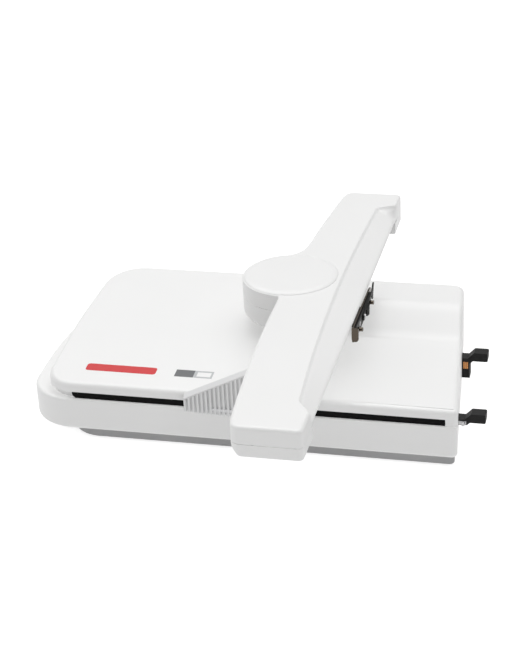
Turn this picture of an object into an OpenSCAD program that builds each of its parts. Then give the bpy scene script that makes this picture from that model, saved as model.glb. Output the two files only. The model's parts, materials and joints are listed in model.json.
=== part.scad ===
// Embroidery module: a motor-driven arm that carries an embroidery hoop in two directions.
// Millimetres, +Z up. The origin is on the table, under the middle of the base.
// +X points to the sewing machine that the module hooks on to, and -Y is the operator's side.

/* [Housing] */
// Y of the front face
front_y = -98; // [-102:0.5:-96]
// Y of the back face
back_y = 136; // [134:0.5:145]
// X of the right side at the front corner
right_front_x = 204.5; // [202:0.5:210]
// How far the right side leans in for each millimetre towards the back
right_lean = 0.1; // [0.08:0.01:0.12]
// X of the sloped lid's left side
lid_left_x = -205.5; // [-208:0.5:-203]
// X of the lower shell's left side
shell_left_x = -227; // [-230:0.5:-224]
// Height of the front rim
rim_z = 60; // [59:0.5:62]
// Height of the raised ridge at the back
ridge_z = 80; // [78:0.5:81]
// Height of the lower shell's underside
shell_z = 9.5; // [8:0.5:10]
// Wall thickness of the mouldings
wall = 2.5; // [2:0.1:3]

/* [Slot] */
// Lower edge of the front slot
slot_low_z = 43.5; // [43:0.1:44]
// Upper edge of the front slot
slot_high_z = 50.5; // [50:0.1:51]
// X of the slot's left end
slot_left_x = -175.5; // [-176:0.5:-174]
// X of the slot's right end
slot_right_x = 192.5; // [190:0.5:194]

/* [Arm] */
// Half of the arm's length
arm_half = 264; // [262:1:270]
// X of the arm's left side at mid length
arm_left_x = 16; // [15.5:0.5:17]
// X of the arm's right side
arm_right_x = 94; // [93:0.5:94]
// Height of the arm's underside
arm_low_z = 95; // [94.5:0.1:95.5]
// Height of the joint between the arm's two shells
arm_split_z = 107.5; // [107:0.1:108]
// Height of the arm's top
arm_top_z = 125; // [124:0.5:127]
// Length of each full-width end cap
cap_len = 42; // [38:1:42]
// Radius of the round motor housing
hub_r = 49; // [48:0.5:49]
// X of the motor housing's centre
hub_x = 18; // [17.5:0.5:18.5]
// Y of the motor housing's centre
hub_y = 40.5; // [40:0.5:41]

/* [Drive] */
// Running clearance between a rod and its bush
play = 0.03; // [0.02:0.01:0.05]
// Thickness of the drive belts
belt_t = 1.4; // [1.2:0.1:1.4]

/* [Hidden] */
$fn = 48;

white = "#f4f4f2";
grey = "#b9bbbb";
dark = "#55565a";
black = "#1c1c1e";
steel = "#c9ccd0";

// Round parts of the drives
x_rod_r = 4;
y_rod_r = 3;
x_pulley_r = 9;
y_pulley_r = 13.5;

// Heights and lines that several parts share
tray_z = 1;
deck_z = shell_z + wall;
x_rod_z = 28;
x_rod_ys = [-80, -42];
rod_left_x = -188;
rod_right_x = 178;
belt_x_y = -12;
x_pulley_left = -160;
x_pulley_right = 158;
x_belt_z = 27;
slider_top_z = 36;
board_z = 20;
tongue_z = [45.3, 48.7];
split_x = 40;
y_rod_z = 104;
y_rod_xs = [60, 78];
y_belt_x = 44;
y_belt_z = 105.5;
y_belt_h = 5;
idler_y = 229;
idler_r = 6;
frame_z = 97.5;
frame_t = 1.6;
slider_x = [54, 84];
motor_x = 2;
guide_r = 5;
guide_x = 33;
coupler_x = 94.8;
coupler_z = 103;
plate_front_y = -42;
block_t = 1.6;
block_x = coupler_x + 1.6 + block_t;
screw_ys = [-14, 14];
hoop_pin_ys = [-26, 34];
hoop_pin_r = 2;
hoop_pin_neck_r = 1.5;
hoop_pin_head = 5;
hoop_pin_end = block_x + hoop_pin_head;
hub_low_z = 84;
arm_wall = 2.2;
step_foot_y = 48;
step_top_y = 84;
hook_len = 26;
hook_z = 40;
hook_core_z = hook_z - 4.9;
front_hook_y = -67;
rear_hook_y = 57;
belt_gap = 0.12;

// Unit vector along v
function unit(v) = v / norm(v);

// Points of the arc of radius r that rounds vertex p between its neighbours a and b
function corner(p, a, b, r, n) =
    let (
        u = unit(a - p),
        v = unit(b - p),
        half = acos(u * v) / 2,
        reach = r / tan(half),
        centre = p + unit(u + v) * r / sin(half),
        first = p + u * reach - centre,
        last = p + v * reach - centre,
        start = atan2(first[1], first[0]),
        turn = atan2(last[1], last[0]) - start,
        sweep = turn > 180 ? turn - 360 : (turn < -180 ? turn + 360 : turn)
    )
    r <= 0 ? [p] : [for (i = [0:n]) centre + r * [cos(start + sweep * i / n), sin(start + sweep * i / n)]];

// A closed outline whose vertices are rounded by the matching radii
function rounded(pts, radii, n = 10) =
    let (count = len(pts))
    [for (i = [0:count - 1])
        each corner(pts[i], pts[(i + count - 1) % count], pts[(i + 1) % count], radii[i], n)];

// Points along an arc of radius r around x, y
function arc_points(x, y, r, from_a, to_a, n = 8) =
    [for (i = [0:n]) let (a = from_a + (to_a - from_a) * i / n) [x + r * cos(a), y + r * sin(a)]];

// X of the housing's right side at a given y
function right_x(y) = right_front_x - right_lean * (y - front_y);

// Height of the sloped lid at a given y
function lid_z(y) = rim_z + (ridge_z - rim_z) * (y - front_y) / (back_y - front_y);

module block(low, high) {
    translate(low)
        cube(high - low);
}

module rod_x(from_x, to_x, y, z, r) {
    translate([from_x, y, z])
        rotate([0, 90, 0])
            cylinder(h = to_x - from_x, r = r);
}

module rod_y(from_y, to_y, x, z, r) {
    translate([x, from_y, z])
        rotate([-90, 0, 0])
            cylinder(h = to_y - from_y, r = r);
}

module rod_z(from_z, to_z, x, y, r) {
    translate([x, y, from_z])
        cylinder(h = to_z - from_z, r = r);
}

module slab(outline, from_z, to_z) {
    translate([0, 0, from_z])
        linear_extrude(to_z - from_z)
            polygon(outline);
}

// Plan of the lower shell, pulled in on every side by inset
function shell_plan(inset) =
    rounded(
        [
            [right_x(front_y) - inset, front_y - 1.5 + inset],
            [right_x(back_y) - inset, back_y - inset],
            [shell_left_x + 14 + inset, back_y - inset],
            [shell_left_x - 1.5 + inset, 20],
            [shell_left_x + 3 + inset, front_y - 1.5 + inset],
        ],
        [5 - inset / 2, 12 - inset, 46 - inset, 500, 46 - inset]
    );

// Plan of both covers together, pulled in by inset
function cover_plan(inset) =
    rounded(
        [
            [right_x(front_y) - inset, front_y + inset],
            [right_x(back_y) - inset, back_y - inset],
            [lid_left_x + 6 + inset, back_y - inset],
            [lid_left_x - 1 + inset, 20],
            [lid_left_x + 1 + inset, front_y + inset],
        ],
        [5 - inset / 2, 12 - inset, 40 - inset, 500, 30 - inset]
    );

function tray_plan(inset) =
    rounded(
        [
            [right_front_x - 3 - inset, front_y + 3 + inset],
            [right_x(back_y) - 5 - inset, back_y - 6 - inset],
            [lid_left_x + 20 + inset, back_y - 6 - inset],
            [lid_left_x + 20 + inset, front_y + 3 + inset],
        ],
        [5 - inset / 2, 10, 30, 34]
    );

// Where the case screws come up through the tray
screw_spots = [
    [-176, -61], [-176, 100], [-60, 116], [60, 116], [160, 100], [172, 20], [-176, 20], [174, -20],
];
foot_spots = [[0, 0], [-165, -62], [-165, 95], [182, -82], [160, 118]];

module base_tray() {
    color(dark) difference() {
        union() {
            difference() {
                slab(tray_plan(0), tray_z, shell_z - 0.1);
                slab(tray_plan(wall), tray_z + wall, shell_z);
            }
            slab(tray_plan(wall + 2), tray_z, tray_z + wall);
            for (spot = screw_spots)
                rod_z(tray_z, shell_z - 0.1, spot[0], spot[1], 5);
            for (spot = foot_spots)
                rod_z(tray_z, shell_z - 3, spot[0], spot[1], 9.5);
        }
        for (spot = screw_spots) {
            rod_z(tray_z - 1, shell_z + 1, spot[0], spot[1], 1.6);
            rod_z(tray_z - 1, tray_z + 2, spot[0], spot[1], 3.2);
        }
        for (spot = foot_spots)
            rod_z(tray_z - 1, tray_z + 2, spot[0], spot[1], 7.5);
    }
}

module rubber_feet() {
    color(black)
        for (spot = foot_spots)
            rod_z(0, tray_z + 2, spot[0], spot[1], 7.4);
}

module lower_shell() {
    color(white) difference() {
        union() {
            difference() {
                slab(shell_plan(0), shell_z, slot_low_z);
                slab(shell_plan(wall), shell_z + wall, slot_low_z + 1);
            }
            // inward ledge under the sloped lid
            difference() {
                slab(shell_plan(0.5), slot_low_z - wall, slot_low_z);
                slab(cover_plan(wall + 1), slot_low_z - 2 * wall, slot_low_z + 1);
            }
            for (spot = screw_spots)
                rod_z(shell_z, slot_low_z, spot[0], spot[1], 4.5);
        }
        for (spot = screw_spots)
            rod_z(shell_z - 1, slot_low_z + 1, spot[0], spot[1], 1.6);
        // windows for the hook roots
        for (y = [front_hook_y, rear_hook_y])
            block([right_x(y) - 9, y - 7, hook_z - 8.5], [right_x(y) + 5, y + 7, hook_z - 1]);
        block([right_x(rear_hook_y) - 9, rear_hook_y - 7, 14], [right_x(rear_hook_y) + 5, rear_hook_y + 7, 34]);
    }
}

// Cross-section of the sloped lid in the YZ plane, lowered by drop
module lid_profile(drop) {
    polygon([
        [front_y - 5, 0],
        [front_y - 5, lid_z(front_y - 5) - drop],
        [back_y + 5, lid_z(back_y + 5) - drop],
        [back_y + 5, 0],
    ]);
}

// Cross-section of the right cover in the YZ plane, lowered by drop
module step_profile(drop) {
    polygon(rounded(
        [
            [front_y - 5, 0],
            [front_y - 5, rim_z - drop],
            [step_foot_y, rim_z - drop],
            [step_top_y, ridge_z - drop],
            [back_y + 5, ridge_z - drop],
            [back_y + 5, 0],
        ],
        [0, 0, 12 + drop, 18 - drop, 0, 0]
    ));
}

// A YZ profile swept along X
module sweep_x(from_x, to_x) {
    translate([from_x, 0, 0])
        rotate([90, 0, 90])
            linear_extrude(to_x - from_x)
                children();
}

// Screw bosses under the cover that lies between low_x and high_x, up into its skin
module cover_bosses(low_x, high_x) {
    for (spot = screw_spots)
        if (spot[0] > low_x && spot[0] < high_x) {
            step_z = spot[1] > step_top_y ? ridge_z : rim_z;
            skin_z = high_x > split_x ? step_z : lid_z(spot[1]);
            rod_z(slot_low_z, skin_z - wall / 2, spot[0], spot[1], 4.5);
        }
}

module cover_holes() {
    for (spot = screw_spots)
        rod_z(slot_low_z - 1, slot_low_z + 12, spot[0], spot[1], 1.3);
    block([slot_left_x, front_y - 5, slot_low_z - 1], [slot_right_x, front_y + wall + 2, slot_high_z]);
}

module left_cover() {
    color(white) difference() {
        union() {
            difference() {
                intersection() {
                    slab(cover_plan(0), slot_low_z, ridge_z + 2);
                    sweep_x(-300, split_x)
                        lid_profile(0);
                }
                intersection() {
                    slab(cover_plan(wall), slot_low_z - 1, ridge_z + 2);
                    sweep_x(-300, split_x - wall)
                        lid_profile(wall);
                }
            }
            cover_bosses(-300, split_x);
        }
        cover_holes();
        // room for the right cover's lower flat under the step between the two covers
        block([split_x - wall - 1, front_y - 5, slot_low_z - 1], [split_x + 1, back_y - wall, rim_z - wall - 0.5]);
        mark_pockets();
    }
}

module right_cover() {
    color(white) difference() {
        union() {
            difference() {
                intersection() {
                    slab(cover_plan(0), slot_low_z, ridge_z + 2);
                    sweep_x(split_x, 300)
                        step_profile(0);
                }
                intersection() {
                    slab(cover_plan(wall), slot_low_z - 1, ridge_z + 2);
                    sweep_x(split_x - 1, 300)
                        step_profile(wall);
                }
            }
            cover_bosses(split_x, 300);
        }
        cover_holes();
    }
}

module slot_seals() {
    color(black)
        for (z = [[slot_low_z - 3.5, tongue_z[0] - 0.3], [tongue_z[1] + 0.3, slot_high_z + 3]])
            block([slot_left_x + 3, front_y + wall + 2.2, z[0]], [slot_right_x - 3, front_y + wall + 4.5, z[1]]);
}

module case_screws() {
    color(steel)
        for (spot = screw_spots) {
            rod_z(tray_z + 0.4, tray_z + 2, spot[0], spot[1], 2.9);
            rod_z(tray_z + 2, slot_low_z + 9, spot[0], spot[1], 1.3);
        }
}

// ---- X drive, inside the housing ----

module x_rods() {
    color(steel)
        for (y = x_rod_ys)
            rod_x(rod_left_x, rod_right_x, y, x_rod_z, x_rod_r);
}

module rod_blocks() {
    color(grey)
        for (x = [rod_left_x, rod_right_x - 10], y = x_rod_ys)
            difference() {
                block([x, y - 8, deck_z], [x + 10, y + 8, x_rod_z + 8]);
                rod_x(x - 1, x + 11, y, x_rod_z, x_rod_r);
            }
}

module x_motor() {
    color("#3a3c40") difference() {
        union() {
            rod_z(deck_z + 0.5, 22, x_pulley_left, belt_x_y, 20);
            rod_z(22, 24, x_pulley_left, belt_x_y, 6);
        }
        rod_z(15, 25, x_pulley_left, belt_x_y, 2.5 + 0.05);
    }
}

module motor_bracket() {
    color(steel) difference() {
        union() {
            block([x_pulley_left - 26, belt_x_y - 22, 22], [x_pulley_left + 26, belt_x_y + 22, 24]);
            for (y = [belt_x_y - 22, belt_x_y + 20])
                block([x_pulley_left - 26, y, deck_z], [x_pulley_left + 26, y + 2, 24]);
        }
        rod_z(21, 25, x_pulley_left, belt_x_y, 6);
        for (dx = [-22, 22])
            rod_z(21, 25, x_pulley_left + dx, belt_x_y, 1.6);
    }
}

module idler_bracket() {
    color(steel) {
        block([x_pulley_right - 10, belt_x_y - 10, deck_z], [x_pulley_right + 10, belt_x_y + 10, 24]);
        rod_z(24, 36, x_pulley_right, belt_x_y, 2.5);
    }
}

// A flanged belt pulley with its shaft or bore added by the caller
module pulley(x, y, z, r, h, flange) {
    rod_z(z, z + h, x, y, r);
    for (low = [z - 1, z + h])
        rod_z(low, low + 1, x, y, r + flange);
}

module x_drive_pulley() {
    color(grey) {
        pulley(x_pulley_left, belt_x_y, x_belt_z - 0.5, x_pulley_r, 7, 1.1);
        rod_z(16, x_belt_z, x_pulley_left, belt_x_y, 2.5);
    }
}

module x_idler_pulley() {
    color(grey) difference() {
        pulley(x_pulley_right, belt_x_y, x_belt_z - 0.5, x_pulley_r, 7, 1.1);
        rod_z(x_belt_z - 5, x_belt_z + 12, x_pulley_right, belt_x_y, 2.5 + play);
    }
}

// Plan of a belt loop around two equal pulleys on a line parallel to X
module loop_x(from_x, to_x, y, r) {
    translate([from_x, y])
        circle(r);
    translate([to_x, y])
        circle(r);
    translate([from_x, y - r])
        square([to_x - from_x, 2 * r]);
}

module x_belt() {
    color(black)
        translate([0, 0, x_belt_z])
            linear_extrude(6)
                difference() {
                    loop_x(x_pulley_left, x_pulley_right, belt_x_y, x_pulley_r + belt_gap + belt_t);
                    loop_x(x_pulley_left, x_pulley_right, belt_x_y, x_pulley_r + belt_gap);
                }
}

module x_slider() {
    color(black) difference() {
        union() {
            block([-35, x_rod_ys[0] - 8, 19], [35, x_rod_ys[1] + 8, slider_top_z]);
            block([-28, -72, slider_top_z], [28, -56, tongue_z[0]]);
        }
        for (y = x_rod_ys) {
            rod_x(-36, 36, y, x_rod_z, x_rod_r + 1);
            for (x = [-36, 25])
                rod_x(x, x + 11, y, x_rod_z, x_rod_r + 2);
        }
        for (x = [-20, 20])
            rod_z(slider_top_z - 8, 60, x, -64, 1.5);
    }
}

module x_bushes() {
    color("#a9834f")
        for (y = x_rod_ys, x = [-35, 25])
            difference() {
                rod_x(x, x + 10, y, x_rod_z, x_rod_r + 2);
                rod_x(x - 1, x + 11, y, x_rod_z, x_rod_r + play);
            }
}

module x_belt_clamp() {
    belt_run_y = belt_x_y - x_pulley_r - belt_gap - belt_t;
    color(grey) difference() {
        block([-12, x_rod_ys[1] + 8, 22], [12, belt_run_y + 4, 36]);
        block([-13, belt_run_y - 0.3, 21], [13, belt_run_y + belt_t + 0.3, 33.4]);
    }
}

// Steel tongue that leaves the housing through the front slot
module slot_tongue() {
    color(steel) difference() {
        block([-32, front_y - 8, tongue_z[0]], [32, -55, tongue_z[1]]);
        for (x = [-20, 20])
            rod_z(tongue_z[0] - 1, tongue_z[1] + 1, x, -64, 1.6);
    }
}

foot_front_y = front_y - 8.5;
foot_back_y = front_y - 2.6;
foot_left_x = -58.4;
foot_right_x = 66;
foot_screw_xs = [28, 54];

// Front outline of the ribbed foot in the XZ plane
foot_outline = [
    [foot_left_x, 40], [foot_right_x, 38], [foot_right_x, arm_low_z],
    [11, arm_low_z], [foot_left_x, rim_z + 1],
];

module sweep_y(from_y, to_y) {
    translate([0, to_y, 0])
        rotate([90, 0, 0])
            linear_extrude(to_y - from_y)
                children();
}

module ribbed_foot() {
    rib_pitch = 4.3;
    rib_w = 2.2;
    rib_count = floor((foot_right_x - foot_left_x) / rib_pitch);
    color(grey) difference() {
        union() {
            sweep_y(foot_front_y + 1.2, foot_back_y)
                polygon(foot_outline);
            // the deep upper part that reaches back over the housing's rim
            intersection() {
                sweep_y(foot_back_y - 0.1, front_y + 16)
                    polygon(foot_outline);
                block([foot_left_x, foot_back_y - 1, rim_z + 3.4], [foot_right_x, front_y + 17, arm_low_z]);
            }
            intersection() {
                sweep_y(foot_front_y, foot_front_y + 1.3)
                    polygon([for (p = foot_outline) p - [0, p[1] > 50 && p[1] < arm_low_z ? 6 : 0]]);
                for (i = [0:rib_count - 1])
                    block(
                        [foot_left_x + i * rib_pitch, foot_front_y - 1, 30],
                        [foot_left_x + i * rib_pitch + rib_w, foot_front_y + 2, 100]
                    );
            }
        }
        // socket for the tongue
        block([-32.1, front_y - 8.1, tongue_z[0] - 0.1], [32.1, front_y, tongue_z[1] + 0.1]);
        for (x = foot_screw_xs)
            rod_z(arm_low_z - 12, arm_low_z + 1, x, front_y + 6, 1.5);
    }
}

module foot_screws() {
    color(steel) {
        for (x = foot_screw_xs) {
            rod_z(arm_low_z - 10, arm_low_z + 2.2, x, front_y + 6, 1.5);
            rod_z(arm_low_z + 2.2, arm_low_z + 4, x, front_y + 6, 2.8);
        }
        for (x = [-20, 20]) {
            rod_z(slider_top_z - 6, tongue_z[1], x, -64, 1.5);
            rod_z(tongue_z[1], tongue_z[1] + 1.6, x, -64, 2.8);
        }
    }
}

// ---- Arm ----

// X of the arm's left side at a given y: a long shallow arc that leans a little towards the front
arm_bow = 0.000206;
arm_skew = 0.006;
function arm_left(y, inset) = arm_left_x + inset + arm_skew * y + arm_bow * y * y;

// Plan of the arm without the round housing
function arm_plan(inset) =
    let (
        reach = arm_half - inset,
        steps = 12,
        left = [for (i = [0:steps]) let (y = (reach - 14) * (1 - 2 * i / steps)) [arm_left(y, inset), y]]
    )
    concat(
        rounded(
            [
                [arm_left(reach, inset), -reach], [arm_right_x - inset, -reach],
                [arm_right_x - inset, reach], [arm_left(reach, inset), reach],
            ],
            [10, 8, 8, 10]
        ),
        left
    );

// Centre of the round that hollows the flare: it touches the arm's side and the round housing
flare_r = 36;
flare_x = arm_left_x + 3 - flare_r;
flare_y = hub_y + sqrt(pow(hub_r + flare_r, 2) - pow(hub_x - flare_x, 2));
flare_end = atan2(hub_y - flare_y, hub_x - flare_x);
// The round stops this many degrees before it would touch the housing, so that the outlines cross cleanly
flare_short = 4;

// The round housing and its flared join with the arm
module hub_plan(inset) {
    translate([hub_x, hub_y])
        circle(hub_r - inset);
    // the flare is the corner between the circle and the arm, hollowed by a round of flare_r
    polygon(concat(
        arc_points(flare_x, flare_y, flare_r + inset, 0, flare_end + flare_short, 14),
        [[hub_x, hub_y], [arm_left_x + 20, hub_y], [arm_left_x + 20, flare_y]]
    ));
}

// The slope falls from the ridge line on the arm's top to the lip at its right side
scoop_ridge_x = 73;
scoop_lip_z = 113;

// The sloped side between the two end caps: everything outside the ridge line
module side_scoop(drop) {
    scoop_y = arm_half - cap_len;
    sweep_y(-scoop_y - drop, scoop_y + drop)
        polygon([
            [scoop_ridge_x - drop * 0.6, arm_top_z + 5], [scoop_ridge_x - drop * 0.6, arm_top_z - drop],
            [arm_right_x - drop * 0.6, scoop_lip_z - drop], [arm_right_x + 5, scoop_lip_z - drop],
            [arm_right_x + 5, arm_top_z + 5],
        ]);
}

floor_right_x = 86.5;

// The opening under the sloped side, where the hoop carrier comes out
module side_opening() {
    scoop_y = arm_half - cap_len;
    block([74, -scoop_y, arm_low_z + 2], [arm_right_x + 1, scoop_y, scoop_lip_z - 2]);
    // the floor stops short of the lip, so that lint falls through
    block([floor_right_x, -scoop_y, arm_low_z - 1], [arm_right_x + 1, scoop_y, arm_low_z + 3]);
}

module arm_lower_shell() {
    color(white) difference() {
        union() {
            slab(arm_plan(0), arm_low_z, arm_split_z);
            translate([0, 0, hub_low_z])
                linear_extrude(arm_split_z - hub_low_z)
                    hub_plan(0);
        }
        difference() {
            slab(arm_plan(arm_wall), arm_low_z + 2, arm_split_z + 1);
            for (spot = arm_screw_spots)
                rod_z(arm_low_z + 1, arm_split_z, spot[0], spot[1], 4);
        }
        translate([0, 0, hub_low_z + arm_wall])
            linear_extrude(arm_split_z - hub_low_z)
                hub_plan(arm_wall);
        side_opening();
        for (x = foot_screw_xs)
            rod_z(arm_low_z - 1, arm_low_z + 3, x, front_y + 6, 1.6);
        for (spot = arm_screw_spots) {
            rod_z(arm_low_z - 1, arm_split_z + 1, spot[0], spot[1], 1.4);
            rod_z(arm_low_z - 1, arm_low_z + 1.6, spot[0], spot[1], 2.7);
        }
    }
}

arm_screw_spots = [for (x = [46, 84], y = [-250, 250]) [x, y]];

module arm_upper_shell() {
    color(white) difference() {
        union() {
            slab(arm_plan(0), arm_split_z, arm_top_z);
            translate([0, 0, arm_split_z])
                linear_extrude(arm_top_z - arm_split_z)
                    hub_plan(0);
        }
        side_scoop(0);
        difference() {
            union() {
                slab(arm_plan(arm_wall), arm_split_z - 1, arm_top_z - arm_wall);
                translate([0, 0, arm_split_z - 1])
                    linear_extrude(arm_top_z - arm_split_z - arm_wall + 1)
                        hub_plan(arm_wall);
            }
            side_scoop(arm_wall);
            for (spot = arm_screw_spots)
                rod_z(arm_split_z - 2, arm_top_z, spot[0], spot[1], 4);
        }
        side_opening();
        for (spot = arm_screw_spots)
            rod_z(arm_split_z - 2, arm_split_z + 10, spot[0], spot[1], 1.3);
        // seat for the round cap
        rod_z(arm_top_z - 1, arm_top_z + 1, hub_x, hub_y, hub_r - 1.4);
    }
}

module hub_cap() {
    color(white)
        rod_z(arm_top_z - 1, arm_top_z + 2.5, hub_x, hub_y, hub_r - 1.5);
}

module arm_frame() {
    color(grey) difference() {
        union() {
            block([34, -236, frame_z], [slider_x[1], 236, frame_z + frame_t]);
            for (y = [-236, 233])
                block([slider_x[0], y, frame_z], [slider_x[1], y + 3, y_rod_z + 5]);
        }
        for (x = y_rod_xs)
            rod_y(-240, 240, x, y_rod_z, y_rod_r);
        for (x = foot_screw_xs)
            rod_z(frame_z - 1, frame_z + 5, x, front_y + 6, 3.2);
        for (y = [-idler_y, idler_y])
            rod_z(frame_z - 1, frame_z + 5, y_belt_x, y, 4);
    }
}

module y_rods() {
    color(steel)
        for (x = y_rod_xs)
            rod_y(-236, 236, x, y_rod_z, y_rod_r);
}

module y_motor() {
    color("#3a3c40") difference() {
        union() {
            rod_z(86.5, 101.5, motor_x, hub_y, 25);
            rod_z(101.5, 103, motor_x, hub_y, 6);
        }
        rod_z(95, 104, motor_x, hub_y, 2.55);
    }
}

module y_drive_pulley() {
    color(grey) {
        pulley(motor_x, hub_y, y_belt_z - 0.5, y_pulley_r, 6, 0.9);
        rod_z(96, y_belt_z, motor_x, hub_y, 2.5);
    }
}

module belt_guides() {
    base_low = frame_z + frame_t;
    color(steel)
        for (side = [-1, 1]) {
            y = hub_y + side * (y_pulley_r + guide_r);
            rod_z(base_low, 112, guide_x, y, guide_r - belt_t / 2 - belt_gap);
            block([guide_x - 5, y - 5, base_low], [guide_x + 12, y + 5, base_low + 1.4]);
        }
}

module idler(y) {
    color(grey) difference() {
        pulley(y_belt_x, y, y_belt_z - 0.5, idler_r - belt_t / 2 - belt_gap, 6, 1);
        rod_z(y_belt_z - 3, y_belt_z + 8, y_belt_x, y, 2 + play);
    }
}

module y_front_idler() {
    idler(-idler_y);
}

module y_rear_idler() {
    idler(idler_y);
}

// Centre line of the hoop belt: two long runs, the end idlers and the loop around the drive pulley
y_belt_path = concat(
    arc_points(y_belt_x, -idler_y, idler_r, 360, 180, 12),
    arc_points(guide_x, hub_y - y_pulley_r - guide_r, guide_r, 0, 90),
    arc_points(motor_x, hub_y, y_pulley_r + belt_t / 2 + belt_gap, 270, 90, 16),
    arc_points(guide_x, hub_y + y_pulley_r + guide_r, guide_r, 270, 360),
    arc_points(y_belt_x, idler_y, idler_r, 180, 0, 12)
);

module y_belt() {
    color(black)
        translate([0, 0, y_belt_z])
            linear_extrude(y_belt_h)
                difference() {
                    offset(delta = belt_t / 2)
                        polygon(y_belt_path);
                    offset(delta = -belt_t / 2)
                        polygon(y_belt_path);
                }
}

module arm_screws() {
    color(steel)
        for (spot = arm_screw_spots) {
            rod_z(arm_low_z + 0.4, arm_split_z + 8, spot[0], spot[1], 1.3);
            rod_z(arm_low_z + 0.4, arm_low_z + 1.6, spot[0], spot[1], 2.6);
        }
}

// Posts that the belt's end idlers turn on
module idler_posts() {
    color(steel)
        for (y = [-idler_y, idler_y]) {
            rod_z(arm_low_z + 2, y_belt_z + 8, y_belt_x, y, 2);
            rod_z(arm_low_z + 2, y_belt_z - 2, y_belt_x, y, 3.9);
        }
}

module y_home_sensor() {
    color(black) difference() {
        block([86, -232, arm_low_z + 2], [91, -224, arm_low_z + 4.5]);
        block([87.5, -233, arm_low_z + 3.5], [89.5, -223, arm_low_z + 6]);
    }
}

// ---- Hoop carrier ----

module y_slider() {
    color(black) difference() {
        union() {
            block([slider_x[0], -19, 100], [slider_x[1], 19, 110]);
            block([slider_x[1], -19, 101], [coupler_x, 19, 105]);
        }
        for (x = y_rod_xs) {
            rod_y(-20, 20, x, y_rod_z, y_rod_r + 0.8);
            for (y = [-20, 11])
                rod_y(y, y + 9, x, y_rod_z, y_rod_r + 1.5);
        }
        for (y = screw_ys)
            rod_x(coupler_x - 8, coupler_x + 1, y, coupler_z, 1.3);
    }
}

module y_bushes() {
    color("#a9834f")
        for (x = y_rod_xs, y = [-19, 11])
            difference() {
                rod_y(y, y + 8, x, y_rod_z, y_rod_r + 1.5);
                rod_y(y - 1, y + 9, x, y_rod_z, y_rod_r + play);
            }
}

module y_belt_clamp() {
    run_x = y_belt_x + idler_r;
    color(grey) difference() {
        block([run_x - 3.4, -8, 103.5], [slider_x[0], 8, 113]);
        block([run_x - belt_t / 2 - 0.3, -9, 102], [run_x + belt_t / 2 + 0.3, 9, 111]);
    }
}

// Outline of the hoop coupler's plate in the YZ plane
coupler_outline = rounded(
    [[plate_front_y, 95], [54, 95], [60, 103], [56, 109], [48, 111], [plate_front_y, 111]],
    [4, 3, 3, 2, 4, 4],
    6
);

module coupler_plate() {
    color(steel) difference() {
        union() {
            translate([coupler_x, 0, 0])
                rotate([90, 0, 90])
                    linear_extrude(1.6)
                        polygon(coupler_outline);
            // rounded front ear, turned outwards
            sweep_y(plate_front_y - 1, plate_front_y + 0.8)
                polygon(rounded(
                    [[coupler_x, 97.5], [coupler_x + 6.7, 97.5], [coupler_x + 6.7, 112], [coupler_x, 112]],
                    [3.3, 3.3, 1.5, 0.5]
                ));
        }
        for (y = screw_ys)
            rod_x(coupler_x - 1, coupler_x + 3, y, coupler_z, 1.6);
        for (y = hoop_pin_ys)
            rod_x(coupler_x - 1, coupler_x + 3, y, coupler_z, hoop_pin_neck_r);
    }
}

module coupler_block() {
    color(black) difference() {
        block([block_x - block_t, -34, 96.5], [block_x, 46, 109]);
        for (y = hoop_pin_ys)
            rod_x(coupler_x, block_x + 1, y, coupler_z, hoop_pin_neck_r);
        for (y = screw_ys) {
            rod_x(coupler_x, block_x + 1, y, coupler_z, 1.6);
            rod_x(block_x - 1, block_x + 1, y, coupler_z, 2.9);
        }
        rod_x(coupler_x, block_x + 1, 2, coupler_z, 1.5);
    }
}

// Each pin has a thin neck through the block and a full-size head that the hoop's socket slides over
module hoop_pins() {
    color(steel)
        for (y = hoop_pin_ys) {
            rod_x(coupler_x - 0.8, coupler_x, y, coupler_z, 3);
            rod_x(coupler_x - 0.2, block_x, y, coupler_z, hoop_pin_neck_r);
            rod_x(block_x, hoop_pin_end, y, coupler_z, hoop_pin_r);
        }
}

module coupler_screws() {
    color(steel)
        for (y = screw_ys) {
            rod_x(coupler_x - 7, block_x - 0.9, y, coupler_z, 1.3);
            rod_x(block_x - 1, block_x - 0.1, y, coupler_z, 2.6);
        }
}

lever_x = block_x + 0.2;
lever_t = 1.2;

module latch_pivot() {
    color(steel) {
        rod_x(block_x - block_t, lever_x + lever_t + 0.2, 2, coupler_z, 1.5);
        rod_x(lever_x + lever_t + 0.2, lever_x + lever_t + 1, 2, coupler_z, 2.6);
    }
}

// Sprung lever with a wedge for the finger and a thumb tab at the back: it turns about the latch pivot
module latch_lever() {
    color(black) difference() {
        union() {
            translate([lever_x, 0, 0])
                rotate([90, 0, 90])
                    linear_extrude(lever_t)
                        polygon(rounded(
                            [[-2.5, 99.5], [29, 99.5], [29, 106], [47, 106], [47, 100], [50, 100], [57, 115],
                             [53, 115], [47, 109.5], [-2.5, 106.5]],
                            [3, 1, 1, 0, 1, 1, 1, 1, 3, 3],
                            5
                        ));
            translate([0, 0, 99.5])
                linear_extrude(7)
                    polygon([[lever_x, 10], [lever_x + 2.2, 10], [lever_x + 3.6, 13], [lever_x + 3.6, 16],
                             [lever_x + 1.6, 28], [lever_x, 28]]);
        }
        rod_x(lever_x - 1, lever_x + 6, 2, coupler_z, 1.5 + play);
    }
}

// ---- Electrics ----

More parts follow.
